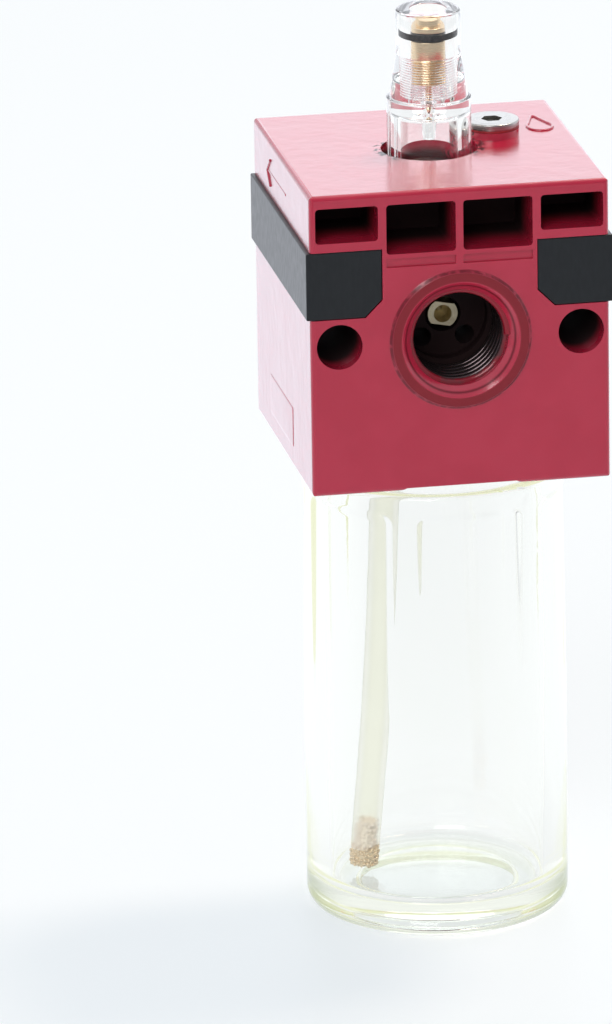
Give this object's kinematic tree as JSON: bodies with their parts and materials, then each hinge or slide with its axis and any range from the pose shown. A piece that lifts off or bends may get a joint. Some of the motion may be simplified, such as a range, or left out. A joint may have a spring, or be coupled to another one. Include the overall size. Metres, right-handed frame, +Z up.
{
  "type": "mini air lubricator",
  "caption": "Mini air-line lubricator: square cast body with threaded ports in line, clear sight dome with needle screw on top, clear screw-in oil bowl below.",
  "frame": {"origin": "middle of the bowl's foot, on the surface it stands on", "axes": "+Z up along the bowl's axis, +Y along the air flow from the inlet port to the outlet port, +X to the right seen from the inlet"},
  "size_m": [0.041, 0.041, 0.1241],
  "materials": {
    "red_paint": "thick glossy wine-red enamel on a zinc die casting",
    "black_plastic": "satin black moulded strip",
    "clear_plastic": "clear polycarbonate with a faint yellow tint",
    "seal_rubber": "matte black nitrile",
    "red_fibre": "vulcanised fibre washer",
    "brass": "turned brass",
    "nickel_plate": "nickel-plated steel",
    "tube_plastic": "translucent pale tube",
    "sintered_bronze": "grainy sintered bronze"
  },
  "bodies": {
    "bowl": {"bowl": "clear_plastic"},
    "bowl_seal": {"bowl_seal": "seal_rubber"},
    "head": {"body": "red_paint", "left_strip": "black_plastic", "right_strip": "black_plastic", "sight_dome": "clear_plastic", "dome_seal": "seal_rubber", "inlet_jet": "brass", "tube_connector": "brass", "siphon_tube": "tube_plastic", "tube_filter": "sintered_bronze"},
    "screw_seal": {"adjusting_screw_seal": "seal_rubber"},
    "adjusting_screw": {"adjusting_screw": "brass"},
    "plug_seal": {"fill_plug_seal": "red_fibre"},
    "fill_plug": {"fill_plug": "nickel_plate"},
    "check_ball": {"check_ball": "nickel_plate"}
  },
  "joints": [
    {"name": "bowl_thread_lift", "type": "slide", "parent": "bowl", "child": "bowl_seal", "axis": [0, 0, 1], "range_m": [0, 0.00901]},
    {"name": "bowl_thread_turn", "type": "hinge", "parent": "bowl_seal", "child": "head", "pos_m": [0, 0, 0.07], "axis": [0, 0, 1], "range_deg": [0, 2160]},
    {"name": "screw_travel", "type": "slide", "parent": "head", "child": "screw_seal", "axis": [0, 0, 1], "range_m": [-0.001, 0.00125]},
    {"name": "screw_turn", "type": "hinge", "parent": "screw_seal", "child": "adjusting_screw", "pos_m": [0, 0, 0.1186], "axis": [0, 0, 1], "range_deg": [-1029, 1286]},
    {"name": "plug_travel", "type": "slide", "parent": "head", "child": "plug_seal", "axis": [0, 0, 1], "range_m": [0, 0.004]},
    {"name": "plug_turn", "type": "hinge", "parent": "plug_seal", "child": "fill_plug", "pos_m": [0.0094, 0.0047, 0.1056], "axis": [0, 0, 1], "range_deg": [0, 1800]},
    {"name": "check_ball_lift", "type": "slide", "parent": "head", "child": "check_ball", "axis": [0, 0, 1], "range_m": [0, 0.0008]}
  ],
  "couplings": [
    {"joint": "bowl_thread_lift", "follows": "bowl_thread_turn", "m_per_rad": 0.00023873},
    {"joint": "screw_turn", "follows": "screw_travel", "rad_per_m": 17952},
    {"joint": "plug_turn", "follows": "plug_travel", "rad_per_m": 7853.9}
  ]
}
